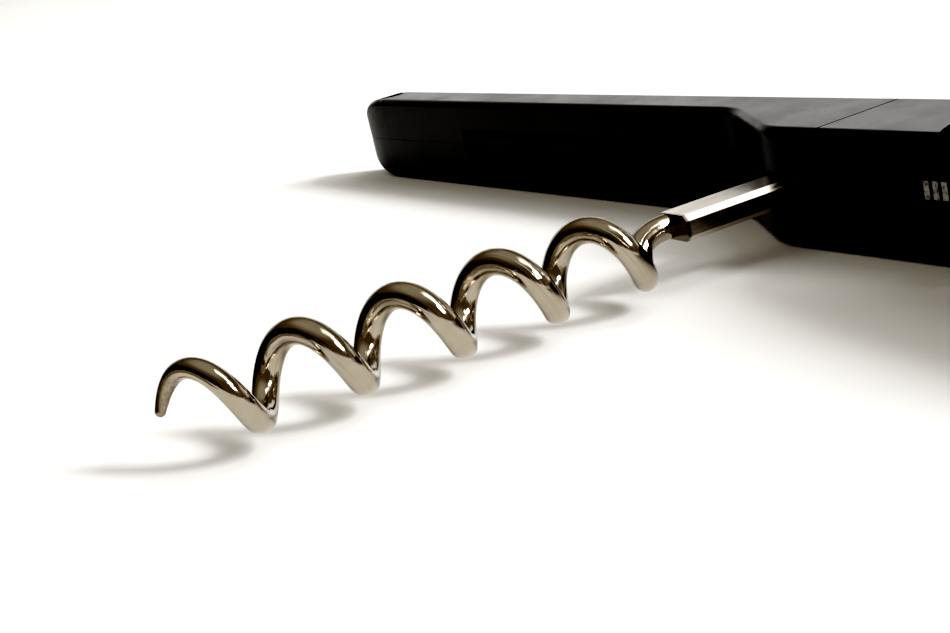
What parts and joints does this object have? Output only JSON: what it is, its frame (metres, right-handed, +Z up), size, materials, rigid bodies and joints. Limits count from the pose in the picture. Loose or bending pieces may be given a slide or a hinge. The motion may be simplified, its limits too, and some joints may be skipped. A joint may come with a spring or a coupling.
{
  "type": "lever corkscrew",
  "caption": "Waiter's corkscrew lying on its side: coiled worm folded out of a slim black handle, two-step lever swung open in line, foil knife shut in the spine.",
  "frame": {"origin": "on the rest plane, the lower shell's flat face, under the worm's hinge pin", "axes": "+X along the handle towards the lever's hinge, +Y towards the handle's spine, +Z up through the handle's thickness; the unfolded worm points to -Y"},
  "size_m": [0.1999, 0.0756, 0.0114],
  "materials": {
    "handle_plastic": "glossy moulded black",
    "chassis_steel": "stamped steel",
    "spring_steel": "tempered strip",
    "screw_steel": "zinc plated",
    "worm_nickel": "polished nickel plate",
    "pin_steel": "turned steel",
    "washer_brass": "stamped brass",
    "lever_nickel": "nickel plated stamping",
    "blade_steel": "ground stainless steel"
  },
  "bodies": {
    "handle": {"upper_shell": "handle_plastic", "lower_shell": "handle_plastic", "upper_liner": "chassis_steel", "lower_liner": "chassis_steel", "back_bar": "chassis_steel", "detent_spring": "spring_steel", "shell_screws": "screw_steel", "worm_pin": "pin_steel", "worm_washers": "washer_brass", "lever_pin": "pin_steel", "lever_washers": "washer_brass", "lever_bush": "pin_steel", "knife_pin": "pin_steel", "knife_washers": "washer_brass"},
    "worm": {"worm_wire": "worm_nickel", "worm_shank": "worm_nickel"},
    "lever": {"lever_arm": "lever_nickel", "step_pin": "pin_steel", "step_washers": "washer_brass"},
    "foot": {"lever_foot": "lever_nickel"},
    "knife": {"knife_blade": "blade_steel"}
  },
  "joints": [
    {"name": "worm_fold", "type": "hinge", "parent": "handle", "child": "worm", "pos_m": [0, 0, 0.0057], "axis": [0, 0, 1], "range_deg": [-87, 3]},
    {"name": "lever_swing", "type": "hinge", "parent": "handle", "child": "lever", "pos_m": [0.027, 0.002, 0.0057], "axis": [0, 0, 1], "range_deg": [-105, 0]},
    {"name": "lever_step", "type": "hinge", "parent": "lever", "child": "foot", "pos_m": [0.065, 0.00965, 0.0057], "axis": [0, 0, 1], "range_deg": [0, 85]},
    {"name": "knife_swing", "type": "hinge", "parent": "handle", "child": "knife", "pos_m": [-0.093, 0.005, 0.0057], "axis": [0, 0, 1], "range_deg": [0, 180]}
  ]
}
